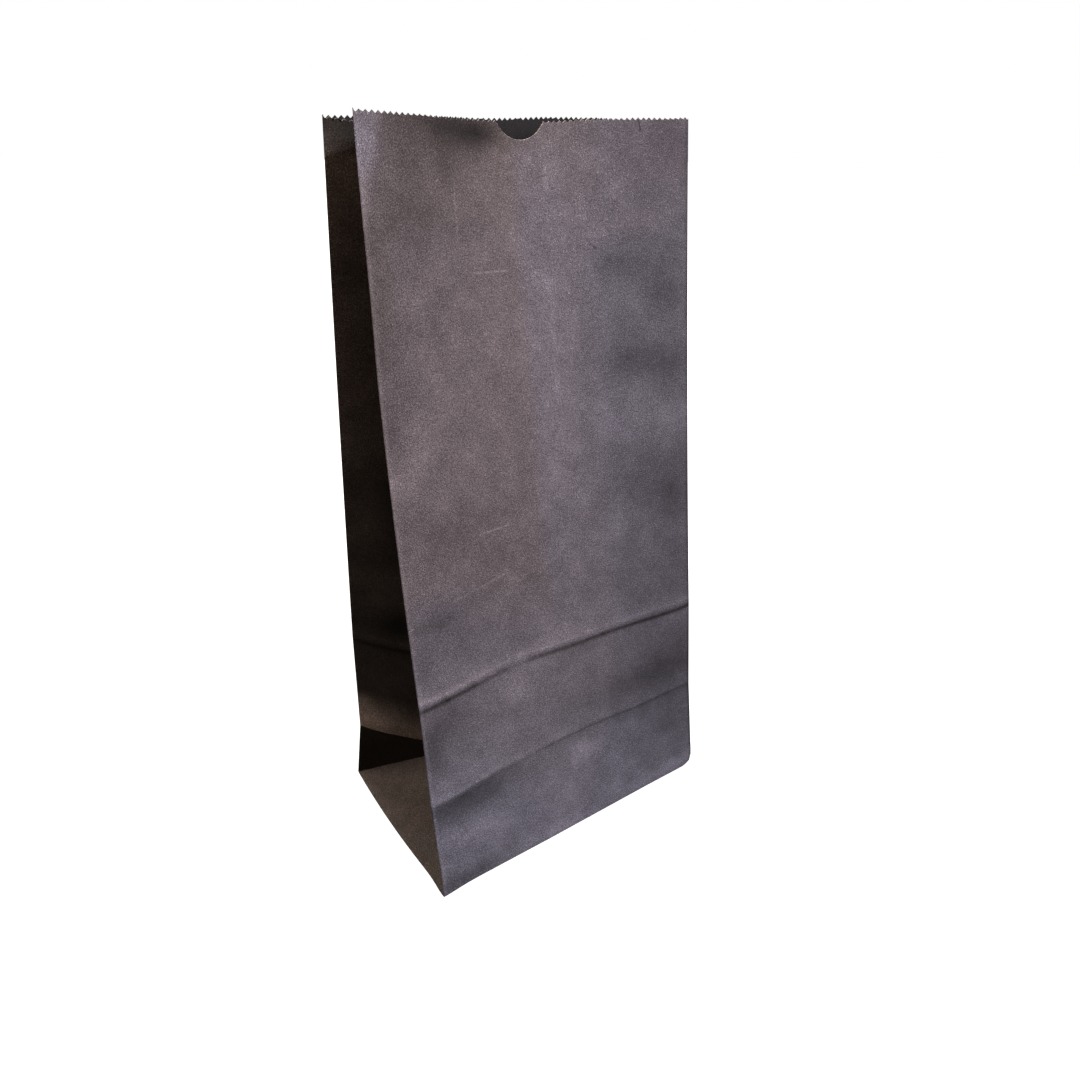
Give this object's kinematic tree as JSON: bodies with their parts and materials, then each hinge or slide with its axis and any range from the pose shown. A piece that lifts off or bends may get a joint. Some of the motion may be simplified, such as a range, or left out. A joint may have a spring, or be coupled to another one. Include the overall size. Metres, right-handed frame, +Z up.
{
  "type": "self-opening paper bag",
  "caption": "Open, empty paper bag on a flat rectangular base, with folded side gussets, fold creases, a serrated rim and a thumb notch.",
  "frame": {"origin": "middle of the base's underside, on the surface that the bag stands on", "axes": "+Z up, +X right along the wide panels, +Y to the rear; the front panel, with the thumb notch, faces -Y"},
  "size_m": [0.1613, 0.0985, 0.3183],
  "materials": {
    "paper": "matt dark grey kraft paper with a fine fibrous mottle"
  },
  "bodies": {
    "root": {"bag": "paper"}
  },
  "joints": []
}
